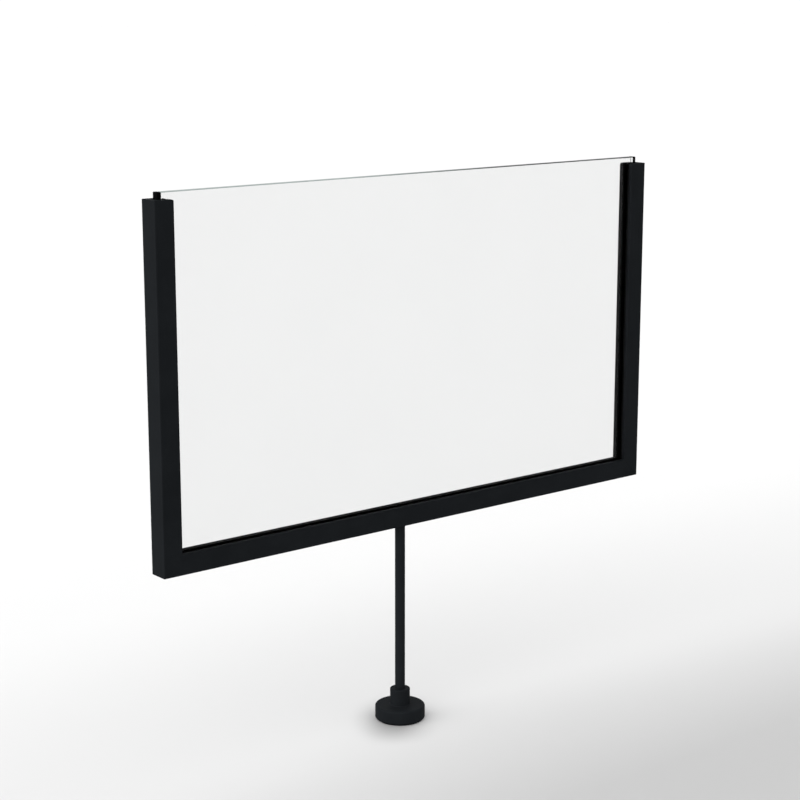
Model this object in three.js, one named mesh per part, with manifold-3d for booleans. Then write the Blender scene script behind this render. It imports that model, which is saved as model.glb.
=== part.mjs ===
// Counter-top sneeze guard. A toughened glass pane slides down into a three-sided grooved frame,
// and the frame stands on one round post in a turned foot that is screwed to the counter.
// Millimetres, +Z up. The origin is the middle of the foot's underside, on the post's axis.
// +X runs along the screen and -Y is the front, the side towards the guests.
import * as THREE from 'three';
import { mergeVertices } from 'three/addons/utils/BufferGeometryUtils.js';
import Module from 'manifold-3d';

const wasm = await Module();
wasm.setup();

// ---- driving dimensions -------------------------------------------------------------------
const FRAME_WIDTH = 600; // outer face to outer face
const STILE_HEIGHT = 337.5; // underside of the rail to the tops of the stiles
const FRAME_UNDERSIDE = 202.5; // above the counter
const FRAME_OFFSET = 22; // the frame's centre stands this far to +X of the post
const FACE = 19.5; // the section's width seen from the front
const DEPTH = 21.5; // the section's depth, front to back
const LIP = 4.2; // thickness of the lip on each side of the groove
const WEB = 6; // metal left under the groove
const EDGE_ROUND = 0.8; // rounding along the section's outer edges
const TOP_ROUND = 2.5; // rounding of the stiles' tops beside the glass
const FLAP = 1; // thickness of the gasket flap that covers the rear lip

const GLASS = 8; // thickness of the pane
const GLASS_ARRIS = 0.5; // ground edge of the pane
const PANE_STANDS_PROUD = 6.3; // pane's top edge above the stiles
const TRIM_START = 7; // outer face of the edge trim, from the frame's outer face
const TRIM_WIDTH = 3.6; // the trim covers the flat of the glass edge
const STRIP_START = 11.4; // the gaskets start this far from the frame's outer face
const BLOCK = [40, 10, 3]; // setting block under the glass: length, width, height
const BLOCK_SPACING = 290; // between the two setting blocks

const POST_R = 5;
const POST_BOTTOM = 4.3;
const POST_CHAMFER = 0.6;
const CLAMP_Z = 23.5; // height of the clamp screw
const CLAMP_GROOVE = { r: 4.2, floor: 1.6, mouth: 4.8 }; // turned in the post for the clamp screw
const CLAMP_SCREW = { r: 2, point: 0.6, cone: 1.2, socketR: 1.15, socketDepth: 2, below: 0.4 };
const FOOT_R = 25;
const FOOT_TOP = 14.5; // upper face of the foot's disc
const COLLAR_R = 10;
const COLLAR_TOP = 31.5;
const FOOT_ROUNDS = { base: 0.5, disc: 1.8, neck: 1.2, collar: 1 };
const PAD_R = 23.5;
const PAD = 1.2; // thickness of the pad under the foot
const FIXING_CIRCLE_R = 18; // three counter fixings, evenly round the post
const FIXING_R = 2.5; // tapping hole in the flange
const PAD_HOLE_R = 3.3; // clearance hole in the pad
const FIXING_DEPTH = 9;

const KEY = 2.5; // thickness of the corner keys
const KEY_ARM = 40; // length of each arm, from the frame's outer corner
const KEY_START = 3.5; // outer face of the key, from the frame's outer face
const KEY_WIDTH = 12.4;
const KEY_BEND = 2; // outer radius of the bend
const KEY_SCREW = { r: 1.5, headR: 2.75, length: 5, socketR: 1.15, socketDepth: 1 };
const KEY_SCREW_AT = 27; // from the frame's outer corner
const POST_SCREW = { r: 2.5, headR: 4.6, length: 18, socketR: 1.73, socketDepth: 1.8 };

const GAP = 0.3; // between pieces that touch
const MITRE_SHIFT = 0.2; // each bar is cut back by this much at a mitre
const ROUND = 48; // segments of a large turned shape
const ROUND_SMALL = 24; // segments of a screw or hole

// ---- worked out from them -----------------------------------------------------------------
const LEFT = FRAME_OFFSET - FRAME_WIDTH / 2;
const RIGHT = FRAME_OFFSET + FRAME_WIDTH / 2;
const STILE_TOP = FRAME_UNDERSIDE + STILE_HEIGHT;
const PANE_TOP = STILE_TOP + PANE_STANDS_PROUD;
const GROOVE_FLOOR = FRAME_UNDERSIDE + WEB;
const FRONT_FACE = -DEPTH / 2;
const REAR_FACE = DEPTH / 2;
const GROOVE_FRONT = FRONT_FACE + LIP;
const GROOVE_REAR = REAR_FACE - LIP;
const GLASS_FRONT = -GLASS / 2;
const GLASS_REAR = GLASS / 2;
const GLASS_START = TRIM_START + TRIM_WIDTH + GAP;
const GLASS_BOTTOM = GROOVE_FLOOR + BLOCK[2] + 2 * GAP;
const KEY_END = KEY_START + KEY;

// ---- materials ----------------------------------------------------------------------------
const metal = new THREE.MeshStandardMaterial({ color: 0x1b1e20, roughness: 0.55, metalness: 0.3 });
const glass = new THREE.MeshStandardMaterial({
  color: 0xe4eeea, roughness: 0.05, metalness: 0, transparent: true, opacity: 0.3,
});
const rubber = new THREE.MeshStandardMaterial({ color: 0x0a0a0b, roughness: 0.8, metalness: 0 });
const zinc = new THREE.MeshStandardMaterial({ color: 0x9a9ea3, roughness: 0.4, metalness: 0.9 });
const blackSteel = new THREE.MeshStandardMaterial({ color: 0x26282a, roughness: 0.45, metalness: 0.8 });

// ---- solids -------------------------------------------------------------------------------
function toSolid(geometry) {
  const bare = geometry.clone();
  bare.deleteAttribute('normal');
  bare.deleteAttribute('uv');
  const merged = mergeVertices(bare, 1e-4);
  const index = merged.index.array;
  const triangles = [];
  for (let i = 0; i < index.length; i += 3) {
    const [a, b, c] = index.slice(i, i + 3);
    if (a !== b && b !== c && c !== a) triangles.push(a, b, c);
  }
  return new wasm.Manifold(new wasm.Mesh({
    numProp: 3,
    vertProperties: new Float32Array(merged.attributes.position.array),
    triVerts: new Uint32Array(triangles),
  }));
}

function toGeometry(solid) {
  const mesh = solid.getMesh();
  const geometry = new THREE.BufferGeometry();
  geometry.setAttribute('position', new THREE.BufferAttribute(mesh.vertProperties, 3));
  geometry.setIndex(new THREE.BufferAttribute(mesh.triVerts, 1));
  geometry.computeVertexNormals();
  return geometry;
}

const cut = (solid, ...tools) => tools.reduce((rest, tool) => rest.subtract(tool), solid);

// A closed outline [a, b] drawn on axes u and v and pushed from origin along w, with w = u x v.
function prism(points, length, u, v, w, origin) {
  const shape = new THREE.Shape(points.map(([a, b]) => new THREE.Vector2(a, b)));
  const geometry = new THREE.ExtrudeGeometry(shape, { depth: length, bevelEnabled: false, steps: 1 });
  const place = new THREE.Matrix4().makeBasis(u, v, w).setPosition(origin);
  return toSolid(geometry.applyMatrix4(place));
}

const X = new THREE.Vector3(1, 0, 0);
const Y = new THREE.Vector3(0, 1, 0);
const Z = new THREE.Vector3(0, 0, 1);
const prismX = (yz, x0, x1) => prism(yz, x1 - x0, Y, Z, X, new THREE.Vector3(x0, 0, 0));
const prismY = (xz, y0, y1) => prism(xz, y1 - y0, X, Z, Y.clone().negate(), new THREE.Vector3(0, y1, 0));
const prismZ = (xy, z0, z1) => prism(xy, z1 - z0, X, Y, Z, new THREE.Vector3(0, 0, z0));

function block(x0, x1, y0, y1, z0, z1) {
  const box = new THREE.BoxGeometry(x1 - x0, y1 - y0, z1 - z0);
  return toSolid(box.translate((x0 + x1) / 2, (y0 + y1) / 2, (z0 + z1) / 2));
}

// A profile [radius, height] turned about Z; it starts and ends on the axis.
function turned(profile, segments = ROUND) {
  const points = profile.map(([r, z]) => new THREE.Vector2(r, z));
  return toSolid(new THREE.LatheGeometry(points, segments).rotateX(Math.PI / 2));
}

const rod = (r, z0, z1, segments = ROUND_SMALL) => turned([[0, z0], [r, z0], [r, z1], [0, z1]], segments);

// Corners [a, b, radius] with an arc in place of each corner that has a radius.
function rounded(corners, steps = 4) {
  return corners.flatMap(([a, b, radius = 0], i) => {
    if (radius === 0) return [[a, b]];
    const corner = new THREE.Vector2(a, b);
    const before = new THREE.Vector2(...corners.at(i - 1)).sub(corner).normalize();
    const after = new THREE.Vector2(...corners[(i + 1) % corners.length]).sub(corner).normalize();
    const half = Math.acos(before.dot(after)) / 2;
    const centre = before.clone().add(after).setLength(radius / Math.sin(half)).add(corner);
    const start = before.setLength(radius / Math.tan(half)).add(corner).sub(centre);
    const end = after.setLength(radius / Math.tan(half)).add(corner).sub(centre);
    const sweep = Math.atan2(start.cross(end), start.dot(end));
    return Array.from({ length: steps + 1 }, (_, k) => {
      const spoke = start.clone().rotateAround(new THREE.Vector2(), (sweep * k) / steps).add(centre);
      return [spoke.x, spoke.y];
    });
  });
}

// ---- the three sides of the frame ---------------------------------------------------------
// On every side u counts from the frame's outer face towards the glass.
const bySide = { left: (u) => LEFT + u, right: (u) => RIGHT - u };

function outline(side, top) {
  if (side === 'bottom') {
    return [
      [LEFT + MITRE_SHIFT, FRAME_UNDERSIDE],
      [RIGHT - MITRE_SHIFT, FRAME_UNDERSIDE],
      [RIGHT - FACE - MITRE_SHIFT, FRAME_UNDERSIDE + FACE],
      [LEFT + FACE + MITRE_SHIFT, FRAME_UNDERSIDE + FACE],
    ];
  }
  return rounded([
    [bySide[side](0), FRAME_UNDERSIDE + MITRE_SHIFT],
    [bySide[side](FACE), FRAME_UNDERSIDE + FACE + MITRE_SHIFT],
    [bySide[side](FACE), top, TOP_ROUND],
    [bySide[side](0), top],
  ]);
}

// A section [u, y] run along one side of the frame and mitred at the corners.
function alongSide(side, section, top = STILE_TOP) {
  const bar = side === 'bottom'
    ? prismX(section.map(([u, y]) => [y, FRAME_UNDERSIDE + u]), LEFT, RIGHT)
    : prismZ(section.map(([u, y]) => [bySide[side](u), y]), FRAME_UNDERSIDE, top);
  return bar.intersect(prismY(outline(side, top), FRONT_FACE - 1, REAR_FACE + 1));
}

const REAR_LIP_TOP = FACE - FLAP - GAP;

const FRAME_SECTION = rounded([
  [0, FRONT_FACE, EDGE_ROUND],
  [FACE, FRONT_FACE, EDGE_ROUND],
  [FACE, GROOVE_FRONT],
  [WEB, GROOVE_FRONT],
  [WEB, GROOVE_REAR],
  [REAR_LIP_TOP, GROOVE_REAR],
  [REAR_LIP_TOP, REAR_FACE],
  [0, REAR_FACE, EDGE_ROUND],
]);

const FRONT_GASKET_SECTION = rounded([
  [STRIP_START, GROOVE_FRONT + GAP],
  [FACE - GAP, GROOVE_FRONT + GAP],
  [FACE - GAP, GLASS_FRONT - GAP, 0.9],
  [STRIP_START, GLASS_FRONT - GAP, 0.9],
], 3);

const REAR_GASKET_SECTION = rounded([
  [STRIP_START, GLASS_REAR + GAP],
  [FACE, GLASS_REAR + GAP, 0.5],
  [FACE, REAR_FACE, 0.5],
  [FACE - FLAP, REAR_FACE],
  [FACE - FLAP, GROOVE_REAR - GAP],
  [STRIP_START, GROOVE_REAR - GAP],
], 3);

// ---- screws -------------------------------------------------------------------------------
const hexSocket = (r, z0, z1) => turned([[0, z0], [r, z0], [r, z1], [0, z1]], 6);

// A countersunk screw, head up, its top face at z = 0; grow makes the hole that clears it.
function countersunk({ r, headR, length }, grow = 0) {
  const cone = headR - r;
  return turned([
    [0, -length - grow],
    [r + grow, -length - grow],
    [r + grow, -cone],
    [headR + grow, 0],
    [headR + grow, grow],
    [0, grow],
  ], ROUND_SMALL);
}

function countersunkScrew(spec) {
  const rim = 0.25;
  const chamfer = 0.3;
  const cone = spec.headR - spec.r;
  const body = turned([
    [0, -spec.length],
    [spec.r - chamfer, -spec.length],
    [spec.r, -spec.length + chamfer],
    [spec.r, -cone - rim],
    [spec.headR, -rim],
    [spec.headR, 0],
    [0, 0],
  ], ROUND_SMALL);
  return cut(body, hexSocket(spec.socketR, -spec.socketDepth, 1));
}

// The key screws stand square to the web that they hold: pointing down, or out through a stile.
const keyScrewPlace = (side, arm) => {
  if (arm === 'rail') {
    const place = new THREE.Vector3(bySide[side](KEY_SCREW_AT), 0, FRAME_UNDERSIDE + KEY_END);
    return { turn: [0, 0, 0], place };
  }
  const place = new THREE.Vector3(bySide[side](KEY_END), 0, FRAME_UNDERSIDE + KEY_SCREW_AT);
  return { turn: [0, side === 'left' ? 90 : -90, 0], place };
};

function keyScrewSolid(side, arm, grow) {
  const { turn, place } = keyScrewPlace(side, arm);
  const shape = grow ? countersunk(KEY_SCREW, grow) : countersunkScrew(KEY_SCREW);
  return shape.rotate(turn).translate(place.toArray());
}

// ---- corner keys --------------------------------------------------------------------------
// An L in the frame's corner; extra makes the pocket that clears it.
function cornerL(side, extra, halfWidth, inner) {
  const at = bySide[side];
  const start = KEY_START - extra;
  const end = KEY_ARM + extra;
  const corners = rounded([
    [start, start, KEY_BEND],
    [end, start],
    [end, inner],
    [inner, inner],
    [inner, end],
    [start, end],
  ]);
  return prismY(corners.map(([u, v]) => [at(u), FRAME_UNDERSIDE + v]), -halfWidth, halfWidth);
}

function cornerKey(side) {
  const key = cornerL(side, 0, KEY_WIDTH / 2, KEY_END);
  return cut(key, keyScrewSolid(side, 'rail', GAP), keyScrewSolid(side, 'stile', GAP));
}

const keyPocket = (side) => cornerL(side, GAP, GROOVE_REAR, WEB + GAP);

// ---- frame --------------------------------------------------------------------------------
function stile(side) {
  return cut(alongSide(side, FRAME_SECTION), keyPocket(side), keyScrewSolid(side, 'stile', GAP));
}

function bottomRail() {
  const postScrewHole = countersunk(POST_SCREW, GAP).translate([0, 0, GROOVE_FLOOR - GAP]);
  return cut(
    alongSide('bottom', FRAME_SECTION),
    keyPocket('left'),
    keyPocket('right'),
    keyScrewSolid('left', 'rail', GAP),
    keyScrewSolid('right', 'rail', GAP),
    postScrewHole,
  );
}

function settingBlock(side) {
  const [length, width, height] = BLOCK;
  const centreX = FRAME_OFFSET + (side === 'left' ? -1 : 1) * (BLOCK_SPACING / 2);
  const base = GROOVE_FLOOR + GAP;
  return block(centreX - length / 2, centreX + length / 2, -width / 2, width / 2, base, base + height);
}

// ---- pane ---------------------------------------------------------------------------------
function glassPane() {
  const corners = [
    [GLASS_FRONT, GLASS_BOTTOM],
    [GLASS_REAR, GLASS_BOTTOM],
    [GLASS_REAR, PANE_TOP],
    [GLASS_FRONT, PANE_TOP],
  ];
  const section = rounded(corners.map(([y, z]) => [y, z, GLASS_ARRIS]), 1);
  return prismX(section, LEFT + GLASS_START, RIGHT - GLASS_START);
}

// A rubber strip bonded to each upright edge of the glass, which keeps it off the groove's floor.
function edgeTrim(side) {
  const halfWidth = GLASS / 2 - GLASS_ARRIS;
  const section = rounded([
    [TRIM_START, -halfWidth, 0.4],
    [TRIM_START + TRIM_WIDTH, -halfWidth],
    [TRIM_START + TRIM_WIDTH, halfWidth],
    [TRIM_START, halfWidth, 0.4],
  ], 2);
  return prismZ(section.map(([u, y]) => [bySide[side](u), y]), GLASS_BOTTOM, PANE_TOP);
}

// ---- post and foot ------------------------------------------------------------------------
function post() {
  const top = FRAME_UNDERSIDE - GAP;
  const { r, floor, mouth } = CLAMP_GROOVE;
  const body = turned([
    [0, POST_BOTTOM],
    [POST_R - POST_CHAMFER, POST_BOTTOM],
    [POST_R, POST_BOTTOM + POST_CHAMFER],
    [POST_R, CLAMP_Z - mouth / 2],
    [r, CLAMP_Z - floor / 2],
    [r, CLAMP_Z + floor / 2],
    [POST_R, CLAMP_Z + mouth / 2],
    [POST_R, top],
    [0, top],
  ]);
  const belowScrew = 2; // the tapped hole goes on past the screw's end
  const tapped = rod(POST_SCREW.r + GAP, GROOVE_FLOOR - GAP - POST_SCREW.length - belowScrew, top + 1);
  return cut(body, tapped);
}

function footFlange() {
  const base = PAD + GAP;
  const outline = rounded([
    [0, base],
    [FOOT_R, base, FOOT_ROUNDS.base],
    [FOOT_R, FOOT_TOP, FOOT_ROUNDS.disc],
    [COLLAR_R, FOOT_TOP, FOOT_ROUNDS.neck],
    [COLLAR_R, COLLAR_TOP, FOOT_ROUNDS.collar],
    [0, COLLAR_TOP],
  ]);
  const bore = rod(POST_R + GAP, POST_BOTTOM - GAP, COLLAR_TOP + 1, ROUND);
  const clampHole = rod(CLAMP_SCREW.r + GAP, 0, COLLAR_R + 1).rotate([-90, 0, 0]).translate([0, 0, CLAMP_Z]);
  return cut(turned(outline), bore, clampHole, ...fixings(FIXING_R, base - 1, base + FIXING_DEPTH));
}

function fixings(r, z0, z1) {
  return [90, 210, 330].map((degrees) => {
    const angle = THREE.MathUtils.degToRad(degrees);
    const at = [FIXING_CIRCLE_R * Math.cos(angle), FIXING_CIRCLE_R * Math.sin(angle), 0];
    return rod(r, z0, z1).translate(at);
  });
}

const footPad = () => cut(rod(PAD_R, 0, PAD, ROUND), ...fixings(PAD_HOLE_R, -1, PAD + 1));

// An M4 set screw with a cone point that bears in the post's groove; its socket faces the rear.
function clampScrew() {
  const { r, point, cone, socketR, socketDepth, below } = CLAMP_SCREW;
  const tip = CLAMP_GROOVE.r + GAP;
  const outer = COLLAR_R - below;
  const chamfer = 0.3;
  const body = turned([
    [0, tip],
    [point, tip],
    [r, tip + cone],
    [r, outer - chamfer],
    [r - chamfer, outer],
    [0, outer],
  ], ROUND_SMALL);
  const socket = hexSocket(socketR, outer - socketDepth, outer + 1);
  return cut(body, socket).rotate([-90, 0, 0]).translate([0, 0, CLAMP_Z]);
}

// ---- the assembly -------------------------------------------------------------------------
const group = new THREE.Group();

function add(name, solid, material) {
  const mesh = new THREE.Mesh(toGeometry(solid), material);
  mesh.name = name;
  group.add(mesh);
}

add('foot_flange', footFlange(), metal);
add('foot_pad', footPad(), rubber);
add('clamp_screw', clampScrew(), blackSteel);
add('post', post(), metal);
add('post_screw', countersunkScrew(POST_SCREW).translate([0, 0, GROOVE_FLOOR - GAP]), zinc);
add('bottom_rail', bottomRail(), metal);
for (const side of ['left', 'right']) {
  add(`${side}_stile`, stile(side), metal);
  add(`${side}_corner_key`, cornerKey(side), zinc);
  add(`${side}_key_screw_rail`, keyScrewSolid(side, 'rail'), zinc);
  add(`${side}_key_screw_stile`, keyScrewSolid(side, 'stile'), zinc);
  add(`${side}_edge_trim`, edgeTrim(side), rubber);
  add(`${side}_setting_block`, settingBlock(side), rubber);
}
for (const side of ['left', 'bottom', 'right']) {
  add(`${side}_front_gasket`, alongSide(side, FRONT_GASKET_SECTION, STILE_TOP - GAP), rubber);
  add(`${side}_rear_gasket`, alongSide(side, REAR_GASKET_SECTION, STILE_TOP - GAP), rubber);
}
add('glass_pane', glassPane(), glass);

export default group;
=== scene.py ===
import math
from collections import namedtuple

import bmesh
import bpy
from mathutils import Euler, Matrix, Vector


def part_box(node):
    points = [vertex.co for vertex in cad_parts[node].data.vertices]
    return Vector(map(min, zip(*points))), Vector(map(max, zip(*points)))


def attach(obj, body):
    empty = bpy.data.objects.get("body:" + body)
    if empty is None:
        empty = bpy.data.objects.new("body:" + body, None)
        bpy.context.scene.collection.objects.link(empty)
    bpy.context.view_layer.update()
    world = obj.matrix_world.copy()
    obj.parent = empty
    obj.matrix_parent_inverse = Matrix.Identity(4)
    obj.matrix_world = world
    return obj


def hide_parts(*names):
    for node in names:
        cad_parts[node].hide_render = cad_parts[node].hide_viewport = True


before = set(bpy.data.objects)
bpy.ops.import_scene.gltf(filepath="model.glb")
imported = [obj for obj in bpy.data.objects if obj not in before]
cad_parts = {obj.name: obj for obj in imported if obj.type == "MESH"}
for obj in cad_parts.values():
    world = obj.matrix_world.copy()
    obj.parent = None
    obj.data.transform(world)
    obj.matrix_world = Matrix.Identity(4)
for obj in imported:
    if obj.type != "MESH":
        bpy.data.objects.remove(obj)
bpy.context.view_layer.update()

# A counter-top sneeze guard: a glass pane in a grooved black frame on one round post.
# Metres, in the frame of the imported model: +Z up, -Y the front, the post's axis on Z.
MM = 0.001

# ---- places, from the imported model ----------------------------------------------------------
rail_low, rail_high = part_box("bottom_rail")
stile_low, stile_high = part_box("left_stile")
glass_low, glass_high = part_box("glass_pane")
post_low, post_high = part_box("post")
flange_low, flange_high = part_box("foot_flange")
pad_low, pad_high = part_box("foot_pad")
clamp_low, clamp_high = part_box("clamp_screw")
post_screw_low, post_screw_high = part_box("post_screw")

LEFT = stile_low.x
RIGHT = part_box("right_stile")[1].x
UNDERSIDE = rail_low.z
STILE_TOP = stile_high.z
FRONT = rail_low.y
REAR = rail_high.y
CLAMP_Z = (clamp_low.z + clamp_high.z) / 2

# ---- the section that every side of the frame shares ----------------------------------------
FACE = 19.5 * MM  # width seen from the front
LIP = 4.2 * MM  # metal in front of the groove, and behind it
WEB = 6 * MM  # metal under the groove
FLAP = 1 * MM  # gasket flap over the rear lip
STRIP_START = 11.4 * MM  # the gaskets start this far from the frame's outer face
TOP_ROUND = 2.5 * MM  # inner corner at the top of a stile
SEAM = 0.03 * MM  # half of the hairline left at a mitre
SNUG = 0.06 * MM  # clearance between pieces that touch

GROOVE_FRONT = FRONT + LIP
GROOVE_REAR = REAR - LIP


# ---- outlines -------------------------------------------------------------------------------
def rounded(corners, steps=8):
    """A closed outline of corners (a, b) or (a, b, radius), with an arc where there is a radius."""
    points = []
    for i, (a, b, *rest) in enumerate(corners):
        radius = rest[0] if rest else 0
        corner = Vector((a, b))
        if not radius:
            points.append((a, b))
            continue
        before = (Vector(corners[i - 1][:2]) - corner).normalized()
        after = (Vector(corners[(i + 1) % len(corners)][:2]) - corner).normalized()
        half = math.acos(max(-1.0, min(1.0, before.dot(after)))) / 2
        centre = corner + (before + after).normalized() * radius / math.sin(half)
        start = corner + before * radius / math.tan(half) - centre
        end = corner + after * radius / math.tan(half) - centre
        sweep = math.atan2(start.x * end.y - start.y * end.x, start.dot(end))
        for k in range(steps + 1):
            angle = sweep * k / steps
            cos, sin = math.cos(angle), math.sin(angle)
            across, up = start.x * cos - start.y * sin, start.x * sin + start.y * cos
            points.append((centre.x + across, centre.y + up))
    return points


# ---- meshes ---------------------------------------------------------------------------------
def to_object(name, vertices, faces):
    """A new object in the scene, its doubled points merged and its faces pointing out."""
    mesh = bpy.data.meshes.new(name)
    mesh.from_pydata(vertices, [], faces)
    work = bmesh.new()
    work.from_mesh(mesh)
    bmesh.ops.remove_doubles(work, verts=work.verts, dist=1e-7)
    bmesh.ops.recalc_face_normals(work, faces=work.faces)
    work.to_mesh(mesh)
    work.free()
    piece = bpy.data.objects.new(name, mesh)
    bpy.context.scene.collection.objects.link(piece)
    return piece


def prism(name, outline, low, high, axis):
    """An outline pushed along axis from low to high; its two numbers are the other two axes in order."""
    place = {
        "X": lambda a, b, t: (t, a, b),
        "Y": lambda a, b, t: (a, t, b),
        "Z": lambda a, b, t: (a, b, t),
    }[axis]
    count = len(outline)
    vertices = [place(a, b, t) for t in (low, high) for a, b in outline]
    sides = [(i, (i + 1) % count, count + (i + 1) % count, count + i) for i in range(count)]
    caps = [tuple(range(count)), tuple(range(2 * count - 1, count - 1, -1))]
    return to_object(name, vertices, sides + caps)


def turned(name, profile, segments=96):
    """A profile of (radius, height) turned about Z; it starts and ends on the axis."""
    vertices = []
    faces = []
    count = len(profile)
    for k in range(segments):
        angle = 2 * math.pi * k / segments
        vertices += [(r * math.cos(angle), r * math.sin(angle), z) for r, z in profile]
    for k in range(segments):
        here, there = k * count, (k + 1) % segments * count
        for i in range(count - 1):
            loop = [here + i, there + i, there + i + 1, here + i + 1]
            if profile[i][0] == 0:
                loop.remove(there + i)
            if profile[i + 1][0] == 0:
                loop.remove(there + i + 1)
            faces.append(loop)
    return to_object(name, vertices, faces)


def apply_modifiers(piece):
    """Keeps what the modifiers make of the mesh, and removes them."""
    evaluated = piece.evaluated_get(bpy.context.evaluated_depsgraph_get())
    mesh = bpy.data.meshes.new_from_object(evaluated)
    piece.modifiers.clear()
    piece.data = mesh


def boolean(piece, tool, operation="DIFFERENCE"):
    """Cuts, joins or intersects piece with tool, and removes the tool."""
    step = piece.modifiers.new(operation, "BOOLEAN")
    step.operation = operation
    step.solver = "EXACT"
    step.object = tool
    apply_modifiers(piece)
    bpy.data.objects.remove(tool)
    return piece


def soften(piece, width, segments=2, angle=35):
    """Rounds every edge sharper than angle, in degrees."""
    step = piece.modifiers.new("edges", "BEVEL")
    step.width = width
    step.segments = segments
    step.limit_method = "ANGLE"
    step.angle_limit = math.radians(angle)
    step.use_clamp_overlap = True
    step.miter_outer = "MITER_ARC"
    apply_modifiers(piece)


def turn(piece, degrees=(0, 0, 0), place=(0, 0, 0)):
    """Turns the mesh about the axes, in degrees, and then moves it to place."""
    rotation = Euler([math.radians(d) for d in degrees]).to_matrix().to_4x4()
    piece.data.transform(Matrix.Translation(place) @ rotation)
    return piece


SMOOTH_BELOW = 32  # degrees between two faces


def finish_piece(piece, body, materials, node):
    """Smooth shading with true edges, its materials, its body and the CAD node that it stands for."""
    if not piece.data.polygons:
        raise ValueError(f"{piece.name} has come out empty")
    for polygon in piece.data.polygons:
        polygon.use_smooth = True
    piece.data.set_sharp_from_angle(angle=math.radians(SMOOTH_BELOW))
    weigh = piece.modifiers.new("normals", "WEIGHTED_NORMAL")
    weigh.keep_sharp = True
    apply_modifiers(piece)
    indices = [polygon.material_index for polygon in piece.data.polygons]
    piece.data.materials.clear()
    for material in materials:
        piece.data.materials.append(material)
    for polygon, index in zip(piece.data.polygons, indices):
        polygon.material_index = min(index, len(materials) - 1)
    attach(piece, body)
    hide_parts(node)


# ---- material helpers -----------------------------------------------------------------------
def new_material(name):
    """A new material with its node tree and its shader."""
    material = bpy.data.materials.new(name)
    material.use_nodes = True
    tree = material.node_tree
    shader = tree.nodes["Principled BSDF"]
    return material, tree, shader


def noise(tree, scale, detail=2.0, roughness=0.5, stretch=(1, 1, 1)):
    """Noise in the piece's own space, in features per metre, optionally stretched along an axis."""
    place = tree.nodes.new("ShaderNodeTexCoord")
    mapping = tree.nodes.new("ShaderNodeMapping")
    mapping.inputs["Scale"].default_value = stretch
    texture = tree.nodes.new("ShaderNodeTexNoise")
    texture.inputs["Scale"].default_value = scale
    texture.inputs["Detail"].default_value = detail
    texture.inputs["Roughness"].default_value = roughness
    tree.links.new(place.outputs["Object"], mapping.inputs["Vector"])
    tree.links.new(mapping.outputs["Vector"], texture.inputs["Vector"])
    return texture.outputs["Fac"]


def ramp(tree, fac, stops):
    """Stops of (position, (red, green, blue))."""
    node = tree.nodes.new("ShaderNodeValToRGB")
    while len(node.color_ramp.elements) < len(stops):
        node.color_ramp.elements.new(0.5)
    for element, (position, colour) in zip(node.color_ramp.elements, stops):
        element.position = position
        element.color = (*colour, 1)
    tree.links.new(fac, node.inputs["Fac"])
    return node.outputs["Color"]


def spread(tree, fac, low, high):
    """Maps the middle of a noise to the range low to high."""
    node = tree.nodes.new("ShaderNodeMapRange")
    node.inputs["From Min"].default_value = 0.3
    node.inputs["From Max"].default_value = 0.7
    node.inputs["To Min"].default_value = low
    node.inputs["To Max"].default_value = high
    tree.links.new(fac, node.inputs["Value"])
    return node.outputs["Result"]


def bump(tree, shader, layers):
    """Layers of (height, depth in metres, strength), laid on top of each other."""
    normal = None
    for height, depth, strength in layers:
        node = tree.nodes.new("ShaderNodeBump")
        node.inputs["Distance"].default_value = depth
        node.inputs["Strength"].default_value = strength
        tree.links.new(height, node.inputs["Height"])
        if normal is not None:
            tree.links.new(normal, node.inputs["Normal"])
        normal = node.outputs["Normal"]
    tree.links.new(normal, shader.inputs["Normal"])


# ---- materials ------------------------------------------------------------------------------
def powder_coat(name, tone):
    """Satin black powder coat: orange peel and fine grain, with slight changes of gloss."""
    material, tree, shader = new_material(name)
    patches = noise(tree, 45, 3)
    low = Vector((0.0078, 0.0089, 0.0101)) * tone
    high = Vector((0.0096, 0.0109, 0.0123)) * tone
    colour = ramp(tree, patches, [(0.3, low), (0.7, high)])
    tree.links.new(colour, shader.inputs["Base Color"])
    tree.links.new(spread(tree, patches, 0.52, 0.64), shader.inputs["Roughness"])
    shader.inputs["Specular IOR Level"].default_value = 0.01
    peel = noise(tree, 520, 2)
    grain = noise(tree, 2600, 3, 0.6)
    bump(tree, shader, [(peel, 0.00006, 0.35), (grain, 0.00002, 0.3)])
    return material


def black_rubber():
    """Matt black rubber with a fine grain and dusty variation."""
    material, tree, shader = new_material("black_rubber")
    patches = noise(tree, 120, 4, 0.6)
    colour = ramp(tree, patches, [(0.3, (0.0006, 0.0006, 0.0007)), (0.75, (0.0016, 0.0016, 0.0018))])
    tree.links.new(colour, shader.inputs["Base Color"])
    tree.links.new(spread(tree, patches, 0.62, 0.82), shader.inputs["Roughness"])
    shader.inputs["Specular IOR Level"].default_value = 0.02
    grain = noise(tree, 3200, 3, 0.6)
    bump(tree, shader, [(grain, 0.00003, 0.4)])
    return material


def clear_glass(name, reflection):
    """Toughened glass with a very slight tint; reflection scales what its faces mirror."""
    material, tree, shader = new_material(name)
    tones = [(0.2, (0.854, 0.858, 0.857)), (0.8, (0.866, 0.869, 0.868))]
    tint = ramp(tree, noise(tree, 9, 1), tones)
    tree.links.new(tint, shader.inputs["Base Color"])
    shader.inputs["Roughness"].default_value = 0.0
    shader.inputs["IOR"].default_value = 1.52
    shader.inputs["Specular Tint"].default_value = (reflection, reflection, reflection, 1)
    shader.inputs["Transmission Weight"].default_value = 1.0
    return material


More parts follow.
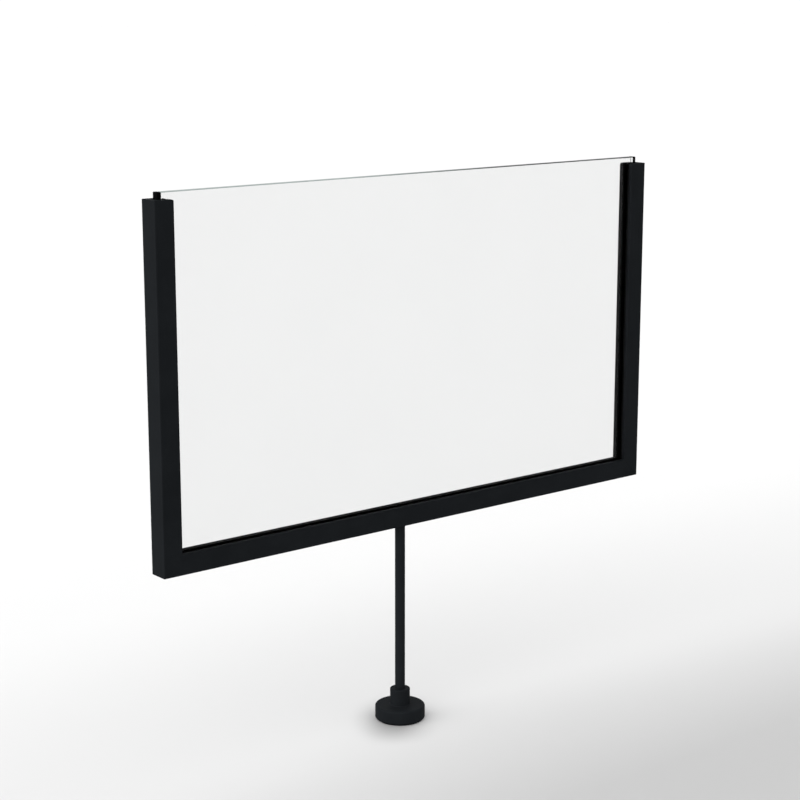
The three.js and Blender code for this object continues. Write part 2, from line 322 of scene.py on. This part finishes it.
def ground_edge():
    """Ground glass, scratched along its length, with painted light and shade: grey-green at the left,
    painted darker to nearly black at the right.
    """
    material, tree, shader = new_material("ground_glass_edge_painted_light")
    lines = noise(tree, 1400, 3, 0.6, stretch=(0.04, 1, 1))
    place = tree.nodes.new("ShaderNodeTexCoord")
    split = tree.nodes.new("ShaderNodeSeparateXYZ")
    tree.links.new(place.outputs["Object"], split.inputs["Vector"])
    along = tree.nodes.new("ShaderNodeMapRange")
    along.inputs["From Min"].default_value = LEFT
    along.inputs["From Max"].default_value = RIGHT
    tree.links.new(split.outputs["X"], along.inputs["Value"])
    painted_light_and_scratches = tree.nodes.new("ShaderNodeMath")  # painted light and shade: the place along the edge, less a little of the scratches
    painted_light_and_scratches.operation = "MULTIPLY_ADD"
    painted_light_and_scratches.inputs[1].default_value = -0.12
    tree.links.new(lines, painted_light_and_scratches.inputs[0])
    tree.links.new(along.outputs["Result"], painted_light_and_scratches.inputs[2])
    # painted light and shade along the edge: lighter at the left, nearly black at the right
    tones = [(0.3, (0.26, 0.30, 0.29)), (0.5, (0.10, 0.12, 0.115)), (0.62, (0.014, 0.018, 0.017))]
    tree.links.new(ramp(tree, painted_light_and_scratches.outputs["Value"], tones), shader.inputs["Base Color"])
    tree.links.new(spread(tree, lines, 0.3, 0.45), shader.inputs["Roughness"])
    shader.inputs["Specular IOR Level"].default_value = 0.1
    bump(tree, shader, [(lines, 0.00002, 0.4)])
    return material


def zinc_plate():
    """Bright zinc plating with a cloudy passivated film."""
    material, tree, shader = new_material("zinc_plated_steel")
    cloud = noise(tree, 260, 3)
    tones = [(0.3, (0.50, 0.51, 0.53)), (0.55, (0.60, 0.61, 0.62)), (0.75, (0.62, 0.60, 0.54))]
    colour = ramp(tree, cloud, tones)
    tree.links.new(colour, shader.inputs["Base Color"])
    tree.links.new(spread(tree, cloud, 0.26, 0.42), shader.inputs["Roughness"])
    shader.inputs["Metallic"].default_value = 1.0
    lines = noise(tree, 2400, 2, stretch=(0.2, 1, 1))
    bump(tree, shader, [(lines, 0.00002, 0.3)])
    return material


def blackened_steel():
    """Oiled black oxide on a hardened screw."""
    material, tree, shader = new_material("blackened_steel")
    cloud = noise(tree, 700, 3)
    colour = ramp(tree, cloud, [(0.3, (0.018, 0.019, 0.021)), (0.7, (0.045, 0.044, 0.044))])
    tree.links.new(colour, shader.inputs["Base Color"])
    tree.links.new(spread(tree, cloud, 0.3, 0.48), shader.inputs["Roughness"])
    shader.inputs["Metallic"].default_value = 0.85
    grain = noise(tree, 3000, 2)
    bump(tree, shader, [(grain, 0.00002, 0.3)])
    return material


coat = powder_coat("powder_coat_frame", 1.0)
# painted light: the post and foot take a copy of the frame's coat 1.16 times lighter, which stands in for
# light on their round sides
painted_lighter_coat = powder_coat("powder_coat_post_and_foot_painted_lighter", 1.16)
rubber = black_rubber()
glass = clear_glass("clear_glass_faces", 0.2)
glass_end = clear_glass("clear_glass_ends", 1.0)
glass_edge = ground_edge()
zinc = zinc_plate()
black_steel = blackened_steel()


# ---- sides of the frame ---------------------------------------------------------------------
# The X of a place that lies u from the outer face of a side.
SIDES = {"left": lambda u: LEFT + u, "right": lambda u: RIGHT - u}


def side_outline(side, top):
    """A side seen from the front, mitred at the lower corners."""
    if side == "bottom":
        return [
            (LEFT + SEAM, UNDERSIDE),
            (RIGHT - SEAM, UNDERSIDE),
            (RIGHT - FACE - SEAM, UNDERSIDE + FACE),
            (LEFT + FACE + SEAM, UNDERSIDE + FACE),
        ]
    at = SIDES[side]
    return rounded([
        (at(0), UNDERSIDE + SEAM),
        (at(FACE), UNDERSIDE + FACE + SEAM),
        (at(FACE), top, TOP_ROUND),
        (at(0), top),
    ], steps=10)


def along_side(name, side, section, top):
    """A section (u, y) run along one side of the frame; u counts from the outer face to the glass."""
    if side == "bottom":
        bar = prism(name, [(y, UNDERSIDE + u) for u, y in section], LEFT, RIGHT, "X")
    else:
        at = SIDES[side]
        bar = prism(name, [(at(u), y) for u, y in section], UNDERSIDE, top, "Z")
    front_view = prism(name + "_view", side_outline(side, top), FRONT - MM, REAR + MM, "Y")
    return boolean(bar, front_view, "INTERSECT")


# ---- screws ---------------------------------------------------------------------------------
Screw = namedtuple("Screw", "radius head_radius length pitch socket socket_depth")
KEY_SCREW = Screw(
    radius=1.5 * MM,
    head_radius=2.75 * MM,
    length=5 * MM,
    pitch=0.5 * MM,
    socket=1.15 * MM,
    socket_depth=1 * MM,
)
POST_SCREW = Screw(
    radius=2.5 * MM,
    head_radius=4.6 * MM,
    length=18 * MM,
    pitch=0.8 * MM,
    socket=1.73 * MM,
    socket_depth=1.8 * MM,
)
HEAD_RIM = 0.25 * MM  # the straight edge of a countersunk head
THREAD_DEPTH = 0.54  # of the pitch
CORE_DEPTH = 0.62  # of the pitch: a head's neck stays just inside the thread's root
FLANK = 1.25  # more than 1 leaves flat crests
SOCKET_TURN = 11  # degrees, so that a socket's corners miss the rod's edges


def threaded_rod(name, radius, pitch, low, high, segments=32, steps=6):
    """A rod with a real helical thread, which fades out at both ends; steps are rows in each turn."""
    depth = THREAD_DEPTH * pitch
    rows = max(4, round((high - low) / pitch * steps))
    vertices = []
    for j in range(rows + 1):
        z = low + (high - low) * j / rows
        fade = min(1.0, (z - low) / pitch, (high - z) / pitch)
        for k in range(segments):
            turns = (z / pitch - k / segments) % 1.0
            flank = min(1.0, abs(2 * turns - 1) * FLANK)
            r = radius - depth * (1 - flank * max(0.0, fade))
            angle = 2 * math.pi * k / segments
            vertices.append((r * math.cos(angle), r * math.sin(angle), z))
    faces = []
    for j in range(rows):
        here, above = j * segments, (j + 1) * segments
        for k in range(segments):
            after = (k + 1) % segments
            faces.append((here + k, here + after, above + after, above + k))
    faces.append(tuple(range(segments)))
    faces.append(tuple(range(rows * segments, (rows + 1) * segments)))
    return to_object(name, vertices, faces)


def hexagon(name, radius, low, high):
    """A hexagonal bar, for cutting a socket; radius is to its corners."""
    angles = [math.radians(60 * k + SOCKET_TURN) for k in range(6)]
    outline = [(radius * math.cos(angle), radius * math.sin(angle)) for angle in angles]
    return prism(name, outline, low, high, "Z")


def countersunk_screw(name, screw):
    """Head up, with the head's flat at z = 0."""
    cone = screw.head_radius - screw.radius
    core = screw.radius - CORE_DEPTH * screw.pitch
    head = turned(name, [
        (0, -cone - HEAD_RIM - screw.pitch),
        (core, -cone - HEAD_RIM - screw.pitch),
        (core, -cone - HEAD_RIM - 0.2 * MM),
        (screw.radius - 0.05 * MM, -cone - HEAD_RIM),
        (screw.head_radius - 0.05 * MM, -HEAD_RIM),
        (screw.head_radius, -HEAD_RIM * 0.6),
        (screw.head_radius, -0.08 * MM),
        (screw.head_radius - 0.08 * MM, 0),
        (0, 0),
    ], 64)
    thread_top = -cone - HEAD_RIM - 0.1 * MM
    shank = threaded_rod(name + "_shank", screw.radius - 0.03 * MM, screw.pitch, -screw.length, thread_top)
    boolean(head, shank, "UNION")
    boolean(head, hexagon(name + "_socket", screw.socket, -screw.socket_depth, MM))
    return head


def clearance_cone(screw, grow):
    """The hole that a countersunk screw stands in, its mouth at z = 0."""
    cone = screw.head_radius - screw.radius
    return turned("hole", [
        (0, -screw.length - grow),
        (screw.radius + grow, -screw.length - grow),
        (screw.radius + grow, -cone),
        (screw.head_radius + grow, 0),
        (screw.head_radius + grow, 2 * MM),
        (0, 2 * MM),
    ], 48)


# ---- corner keys ----------------------------------------------------------------------------
KEY_START = 3.5 * MM  # from the frame's outer face, as are the next three
KEY_FACE = 6 * MM  # the side of the key that faces the glass
KEY_ARM = 40 * MM  # the end of each arm
KEY_SCREW_AT = 27 * MM
KEY_HALF_WIDTH = 6.2 * MM
KEY_ROOM = 0.1 * MM  # round a key in its pocket, and round a screw in its key
SCREW_ROOM = 0.15 * MM  # round a screw in the frame


def corner_l(name, side, extra, half_width, inner):
    """A bent strip in a lower corner, its inside face at inner; extra is added outside and at the ends."""
    at = SIDES[side]
    start = KEY_START - extra
    end = KEY_ARM + extra
    corners = rounded([
        (start, start, 2 * MM),
        (end, start),
        (end, inner),
        (inner, inner, 0.4 * MM),
        (inner, end),
        (start, end),
    ])
    return prism(name, [(at(u), UNDERSIDE + v) for u, v in corners], -half_width, half_width, "Y")


def key_screw_place(side, arm):
    """Turn and place of a key screw: down through the rail's arm, or outwards through a stile's."""
    at = SIDES[side]
    if arm == "rail":
        return (0, 0, 0), (at(KEY_SCREW_AT), 0, UNDERSIDE + KEY_FACE)
    outwards = 90 if side == "left" else -90
    return (0, outwards, 0), (at(KEY_FACE), 0, UNDERSIDE + KEY_SCREW_AT)


def key_screw_hole(side, arm, grow):
    """The countersunk hole of a key screw, as a solid to cut with."""
    return turn(clearance_cone(KEY_SCREW, grow), *key_screw_place(side, arm))


def make_corner_keys():
    """Two bent strips, each with two countersunk screws."""
    for side in SIDES:
        key = corner_l(f"corner_key_{side}", side, 0, KEY_HALF_WIDTH, KEY_FACE)
        soften(key, 0.3 * MM)
        for arm in ("rail", "stile"):
            boolean(key, key_screw_hole(side, arm, KEY_ROOM))
            screw = countersunk_screw(f"key_screw_{side}_{arm}", KEY_SCREW)
            turn(screw, *key_screw_place(side, arm))
            finish_piece(screw, "screen", [zinc], f"{side}_key_screw_{arm}")
        finish_piece(key, "screen", [zinc], f"{side}_corner_key")


# ---- frame bars -----------------------------------------------------------------------------
EDGE_ROUND = 0.8 * MM
REAR_LIP_TOP = FACE - FLAP - SNUG  # under the gasket's flap
POCKET_RISE = 0.2 * MM  # a key's pocket is cut this far through the groove's floor

FRAME_SECTION = rounded([
    (0, FRONT, EDGE_ROUND),
    (FACE, FRONT, EDGE_ROUND),
    (FACE, GROOVE_FRONT, 0.4 * MM),
    (WEB, GROOVE_FRONT, 0.5 * MM),
    (WEB, GROOVE_REAR, 0.5 * MM),
    (REAR_LIP_TOP, GROOVE_REAR),
    (REAR_LIP_TOP, REAR),
    (0, REAR, EDGE_ROUND),
])


def make_frame_bar(side, node, corners, arm):
    """One grooved bar, with pockets for the corner keys and holes for their screws."""
    bar = along_side(f"{side}_bar", side, FRAME_SECTION, STILE_TOP)
    soften(bar, 0.22 * MM, 2, 40)
    for corner in corners:
        boolean(bar, corner_l("pocket", corner, KEY_ROOM, GROOVE_REAR, WEB + POCKET_RISE))
        boolean(bar, key_screw_hole(corner, arm, SCREW_ROOM))
    if side == "bottom":
        hole = clearance_cone(POST_SCREW, SCREW_ROOM)
        boolean(bar, turn(hole, place=(0, 0, post_screw_high.z)))
    finish_piece(bar, "screen", [coat], node)


def make_frame_bars():
    """The two stiles and the rail that joins them."""
    for side in SIDES:
        make_frame_bar(side, f"{side}_stile", [side], "stile")
    make_frame_bar("bottom", "bottom_rail", SIDES, "rail")


# ---- gaskets --------------------------------------------------------------------------------
def barbed(u_high, wall, inward, barbs=3):
    """The side of a gasket that grips the groove's wall, up to u_high: a row of saw teeth."""
    points = []
    step = (u_high - STRIP_START) / barbs
    for k in range(barbs):
        low = STRIP_START + k * step
        points.append((low + 0.15 * step, wall + inward))
        points.append((low + 0.85 * step, wall))
    return points


def front_gasket_section():
    """A barbed strip between the front lip and the glass."""
    front_glass = glass_low.y - 2 * SNUG
    top = FACE - 0.15 * MM
    return rounded([
        (STRIP_START, front_glass),
        (STRIP_START, GROOVE_FRONT + 0.6 * MM),
        *barbed(FACE - 1.2 * MM, GROOVE_FRONT + SNUG, 0.45 * MM),
        (top, GROOVE_FRONT + SNUG, 0.35 * MM),
        (top, front_glass, 0.9 * MM),
    ])


def rear_gasket_section():
    """A barbed strip between the rear lip and the glass, with a flap that covers the lip."""
    rear_glass = glass_high.y + 2 * SNUG
    return rounded([
        (STRIP_START, GROOVE_REAR - 0.5 * MM),
        (STRIP_START, rear_glass),
        (FACE, rear_glass, 0.35 * MM),
        (FACE, REAR, 0.35 * MM),
        (FACE - FLAP, REAR, 0.1 * MM),
        (FACE - FLAP, GROOVE_REAR - SNUG),
        *reversed(barbed(FACE - 1.6 * MM, GROOVE_REAR - SNUG, -0.3 * MM)),
    ])


def make_gaskets():
    """A front and a rear gasket on each of the three sides."""
    sections = {"front": front_gasket_section(), "rear": rear_gasket_section()}
    top = STILE_TOP - 0.1 * MM
    for side in (*SIDES, "bottom"):
        for kind, section in sections.items():
            gasket = along_side(f"gasket_{kind}_{side}", side, section, top)
            finish_piece(gasket, "screen", [rubber], f"{side}_{kind}_gasket")


# ---- pane -----------------------------------------------------------------------------------
ARRIS = 1.2 * MM  # the ground-off corner all round the pane
PANE_MATERIALS = [glass, glass_edge, glass_end]


def pane_material(normal):
    """The index of what a face of the pane takes: ground at top and bottom, clear elsewhere."""
    if abs(normal.z) > 0.3:
        return PANE_MATERIALS.index(glass_edge)
    clear = glass if abs(normal.y) > 0.999 else glass_end
    return PANE_MATERIALS.index(clear)


def make_pane():
    """The pane, and the rubber strips on its two upright edges."""
    outline = [
        (glass_low.x, glass_low.z),
        (glass_high.x, glass_low.z),
        (glass_high.x, glass_high.z),
        (glass_low.x, glass_high.z),
    ]
    pane = prism("toughened_pane", outline, glass_low.y, glass_high.y, "Y")
    soften(pane, ARRIS, 3)
    for polygon in pane.data.polygons:
        polygon.material_index = pane_material(polygon.normal)
    finish_piece(pane, "pane", PANE_MATERIALS, "glass_pane")
    for side in SIDES:
        low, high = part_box(f"{side}_edge_trim")
        corners = [(low.x, low.y), (high.x, low.y), (high.x, high.y), (low.x, high.y)]
        outline = rounded([(x, y, 0.4 * MM) for x, y in corners], 4)
        strip = prism(f"edge_strip_{side}", outline, low.z, high.z, "Z")
        soften(strip, 0.25 * MM, 2, 60)
        finish_piece(strip, "pane", [rubber], f"{side}_edge_trim")


DRAINS = 5  # slots across the underside of a setting block
DRAIN_WIDTH = 1.5 * MM
DRAIN_DEPTH = 0.6 * MM


def make_setting_blocks():
    """Two rubber blocks that carry the pane, slotted underneath so that water runs off."""
    for side in SIDES:
        low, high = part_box(f"{side}_setting_block")
        outline = [(low.x, low.z)]
        for k in range(1, DRAINS + 1):
            x = low.x + (high.x - low.x) * k / (DRAINS + 1)
            outline += [
                (x - DRAIN_WIDTH / 2, low.z),
                (x - DRAIN_WIDTH / 2, low.z + DRAIN_DEPTH),
                (x + DRAIN_WIDTH / 2, low.z + DRAIN_DEPTH),
                (x + DRAIN_WIDTH / 2, low.z),
            ]
        outline += [(high.x, low.z), (high.x, high.z), (low.x, high.z)]
        block = prism(f"setting_block_{side}", outline, low.y, high.y, "Y")
        soften(block, 0.2 * MM)
        finish_piece(block, "screen", [rubber], f"{side}_setting_block")


# ---- post and foot --------------------------------------------------------------------------
POST_GROOVE_FLOOR = 4.2 * MM  # radius
POST_GROOVE_MOUTH = 2.4 * MM  # half its height at the post's surface
POST_GROOVE_FLAT = 0.8 * MM  # half its height at its floor
POST_BORE = 2.75 * MM  # radius


def make_post():
    """The round post, with the clamp screw's groove and a tapped top, and the screw in its top."""
    radius = post_high.x
    profile = rounded([
        (0, post_low.z),
        (radius, post_low.z, 0.6 * MM),
        (radius, CLAMP_Z - POST_GROOVE_MOUTH, 0.2 * MM),
        (POST_GROOVE_FLOOR, CLAMP_Z - POST_GROOVE_FLAT, 0.2 * MM),
        (POST_GROOVE_FLOOR, CLAMP_Z + POST_GROOVE_FLAT, 0.2 * MM),
        (radius, CLAMP_Z + POST_GROOVE_MOUTH, 0.2 * MM),
        (radius, UNDERSIDE - SNUG, 0.25 * MM),
        (POST_BORE, UNDERSIDE - SNUG, 0.3 * MM),
        (POST_BORE, post_screw_low.z - 2 * MM),
        (0, post_screw_low.z - 3.5 * MM),
    ], steps=5)
    post = turned("round_post", profile)
    finish_piece(post, "screen", [painted_lighter_coat], "post")
    screw = turn(countersunk_screw("post_top_screw", POST_SCREW), place=(0, 0, post_screw_high.z))
    finish_piece(screw, "screen", [zinc], "post_screw")


COLLAR_RADIUS = 10 * MM
DISC_TOP = 14.5 * MM
CLAMP_HOLE = 2.1 * MM  # radius
CLAMP_HOLE_REACH = 12 * MM  # from the post's axis, through the collar
FIXINGS = (90, 210, 330)  # degrees from +X
FIXING_CIRCLE = 18 * MM  # radius
TAPPED_HOLE = 2.5 * MM  # radius
TAPPED_MOUTH = 3 * MM  # radius of its chamfered mouth
PAD_HOLE = 3.3 * MM  # radius


def make_foot():
    """The turned flange with its collar, and the rubber pad under it, with their fixing holes."""
    bore = post_high.x + 0.05 * MM
    bore_floor = post_low.z - 0.3 * MM
    flange = turned("turned_foot", rounded([
        (0, flange_low.z),
        (flange_high.x, flange_low.z, 0.5 * MM),
        (flange_high.x, DISC_TOP, 1.8 * MM),
        (COLLAR_RADIUS, DISC_TOP, 1.2 * MM),
        (COLLAR_RADIUS, flange_high.z, 0.9 * MM),
        (bore, flange_high.z, 0.4 * MM),
        (bore, bore_floor),
        (0, bore_floor),
    ]), 128)
    hole = turned("clamp_hole", [
        (0, 0),
        (CLAMP_HOLE, 0),
        (CLAMP_HOLE, CLAMP_HOLE_REACH),
        (0, CLAMP_HOLE_REACH),
    ], 48)
    boolean(flange, turn(hole, (-90, 0, 0), (0, 0, CLAMP_Z)))
    pad = turned("foot_pad_ring", rounded([
        (0, pad_low.z),
        (pad_high.x, pad_low.z, 0.3 * MM),
        (pad_high.x, pad_high.z, 0.3 * MM),
        (0, pad_high.z),
    ], steps=4), 128)
    for degrees in FIXINGS:
        angle = math.radians(degrees)
        place = (FIXING_CIRCLE * math.cos(angle), FIXING_CIRCLE * math.sin(angle), 0)
        tapped = turned("fixing", [
            (0, 0),
            (TAPPED_MOUTH, 0),
            (TAPPED_MOUTH, 2 * MM),
            (TAPPED_HOLE, 2.5 * MM),
            (TAPPED_HOLE, 10.5 * MM),
            (0, 12 * MM),
        ], 48)
        boolean(flange, turn(tapped, place=place))
        through = turned("clearance", [(0, -MM), (PAD_HOLE, -MM), (PAD_HOLE, 3 * MM), (0, 3 * MM)], 48)
        boolean(pad, turn(through, place=place))
    finish_piece(flange, "foot", [painted_lighter_coat], "foot_flange")
    finish_piece(pad, "foot", [rubber], "foot_pad")


CLAMP_PITCH = 0.7 * MM
CLAMP_SOCKET = 1.15 * MM  # radius to the corners
CLAMP_SOCKET_DEPTH = 2 * MM
CONE_TIP = 0.6 * MM  # radius
CONE_ROOT = 1.55 * MM  # radius


def make_clamp_screw():
    """Set screw with a cone point, its socket facing the rear; it is made upright and then laid down."""
    outer = clamp_high.y
    tip = clamp_low.y
    radius = (clamp_high.z - clamp_low.z) / 2
    screw = threaded_rod("clamp_set_screw", radius, CLAMP_PITCH, tip + 1.2 * MM, outer, 48, 10)
    point = turned("point", [
        (0, tip),
        (CONE_TIP, tip),
        (CONE_ROOT, tip + 1.1 * MM),
        (CONE_ROOT, tip + 1.6 * MM),
        (0, tip + 1.6 * MM),
    ], 48)
    boolean(screw, point, "UNION")
    boolean(screw, hexagon("socket", CLAMP_SOCKET, outer - CLAMP_SOCKET_DEPTH, outer + MM))
    turn(screw, (-90, 0, 0), (0, 0, CLAMP_Z))
    finish_piece(screw, "clamp", [black_steel], "clamp_screw")


# ---- camera, floor and light ----------------------------------------------------------------
AZIMUTH = math.radians(38.957)  # from -Y towards -X
ELEVATION = math.radians(12.098)
DISTANCE = 1.8272
TARGET = Vector((0, 0, 0.327))
FOCAL_LENGTH = 84.58  # mm, on a sensor 36 mm wide


def towards_camera():
    """The direction on the floor from the post's axis to below the camera."""
    return Vector((-math.sin(AZIMUTH), -math.cos(AZIMUTH)))


def make_camera():
    """Looks at the post's axis from the front left and a little above."""
    away = Vector((*(towards_camera() * math.cos(ELEVATION)), math.sin(ELEVATION)))
    data = bpy.data.cameras.new("camera")
    data.lens = FOCAL_LENGTH
    data.sensor_width = 36
    data.clip_end = 200
    camera = bpy.data.objects.new("camera", data)
    camera.location = TARGET + away * DISTANCE
    camera.rotation_euler = (-away).to_track_quat("-Z", "Y").to_euler()
    bpy.context.scene.collection.objects.link(camera)
    bpy.context.scene.camera = camera


# Y and the floor's tone there: painted shading, darker towards the front.
PAINTED_FLOOR_SHADING = [
    (-6.0, 0.750), (-0.9, 0.479), (-0.32, 0.479), (-0.25, 0.494), (-0.15, 0.578), (-0.05, 0.649),
    (0.05, 0.668), (0.15, 0.690), (0.25, 0.710), (0.35, 0.734), (0.45, 0.750), (0.6, 0.750),
]
# Painted shadows round the foot: centre to the right and towards the camera, half width, half depth,
# darkness.
PAINTED_FLOOR_SHADOWS = [
    (0, 30 * MM, 42 * MM, 46 * MM, 0.26),
    (-14 * MM, 8 * MM, 40 * MM, 75 * MM, 0.30),
]


def with_painted_shadow(tree, place, tone, across, forward, half_width, half_depth, darkness):
    """The tone with a soft elliptical painted shadow on it."""
    right = Vector((math.cos(AZIMUTH), -math.sin(AZIMUTH)))
    ellipse = tree.nodes.new("ShaderNodeMapping")
    ellipse.vector_type = "TEXTURE"
    ellipse.inputs["Location"].default_value = (*(right * across + towards_camera() * forward), 0)
    ellipse.inputs["Rotation"].default_value = (0, 0, -AZIMUTH)
    ellipse.inputs["Scale"].default_value = (half_width, half_depth, 1)
    tree.links.new(place, ellipse.inputs["Vector"])
    patch = tree.nodes.new("ShaderNodeTexGradient")
    patch.gradient_type = "SPHERICAL"
    tree.links.new(ellipse.outputs["Vector"], patch.inputs["Vector"])
    # painted shadow: the factor on the tone, 1 outside the patch
    light = tree.nodes.new("ShaderNodeMapRange")
    light.interpolation_type = "SMOOTHSTEP"
    light.inputs["To Min"].default_value = 1.0
    light.inputs["To Max"].default_value = 1.0 - darkness
    tree.links.new(patch.outputs["Fac"], light.inputs["Value"])
    result = tree.nodes.new("ShaderNodeVectorMath")
    result.operation = "SCALE"
    tree.links.new(tone, result.inputs[0])
    tree.links.new(light.outputs["Result"], result.inputs["Scale"])
    return result.outputs["Vector"]


def make_floor():
    """A plain white floor with painted shading, darker towards the front, and painted shadows round the
    foot.
    """
    half = 40
    corners = [(-half, -half, 0), (half, -half, 0), (half, half, 0), (-half, half, 0)]
    floor = to_object("floor", corners, [(0, 1, 2, 3)])
    material, tree, shader = new_material("studio_floor")
    place = tree.nodes.new("ShaderNodeTexCoord")
    split = tree.nodes.new("ShaderNodeSeparateXYZ")
    tree.links.new(place.outputs["Object"], split.inputs["Vector"])
    scale = tree.nodes.new("ShaderNodeMapRange")
    first, last = PAINTED_FLOOR_SHADING[0][0], PAINTED_FLOOR_SHADING[-1][0]
    scale.inputs["From Min"].default_value = first
    scale.inputs["From Max"].default_value = last
    tree.links.new(split.outputs["Y"], scale.inputs["Value"])
    stops = [((y - first) / (last - first), (tone, tone, tone)) for y, tone in PAINTED_FLOOR_SHADING]
    tone = ramp(tree, scale.outputs["Result"], stops)
    # painted shadows round the foot
    for shade in PAINTED_FLOOR_SHADOWS:
        tone = with_painted_shadow(tree, place.outputs["Object"], tone, *shade)
    tree.links.new(tone, shader.inputs["Base Color"])
    shader.inputs["Roughness"].default_value = 1.0
    shader.inputs["Specular IOR Level"].default_value = 0.0
    floor.data.materials.append(material)


DOME = 1.06  # brightness all round
LEFT_GLOW = 2.0  # added towards -X
GLOW_FROM = -0.2  # the X of a direction where the glow starts; it is full at -1


def make_light():
    """A soft white dome that brightens towards the left."""
    scene = bpy.context.scene
    scene.view_settings.view_transform = "Standard"
    world = bpy.data.worlds.new("studio")
    world.use_nodes = True
    tree = world.node_tree
    direction = tree.nodes.new("ShaderNodeTexCoord")
    split = tree.nodes.new("ShaderNodeSeparateXYZ")
    glow = tree.nodes.new("ShaderNodeMapRange")
    glow.interpolation_type = "SMOOTHSTEP"
    glow.inputs["From Min"].default_value = GLOW_FROM
    glow.inputs["From Max"].default_value = -1.0
    glow.inputs["To Min"].default_value = DOME
    glow.inputs["To Max"].default_value = DOME + LEFT_GLOW
    tree.links.new(direction.outputs["Generated"], split.inputs["Vector"])
    tree.links.new(split.outputs["X"], glow.inputs["Value"])
    tree.links.new(glow.outputs["Result"], tree.nodes["Background"].inputs["Strength"])
    tree.nodes["Background"].inputs["Color"].default_value = (1, 1, 1, 1)
    scene.world = world


make_camera()
make_frame_bars()
make_corner_keys()
make_gaskets()
make_pane()
make_setting_blocks()
make_post()
make_foot()
make_clamp_screw()
make_floor()
make_light()
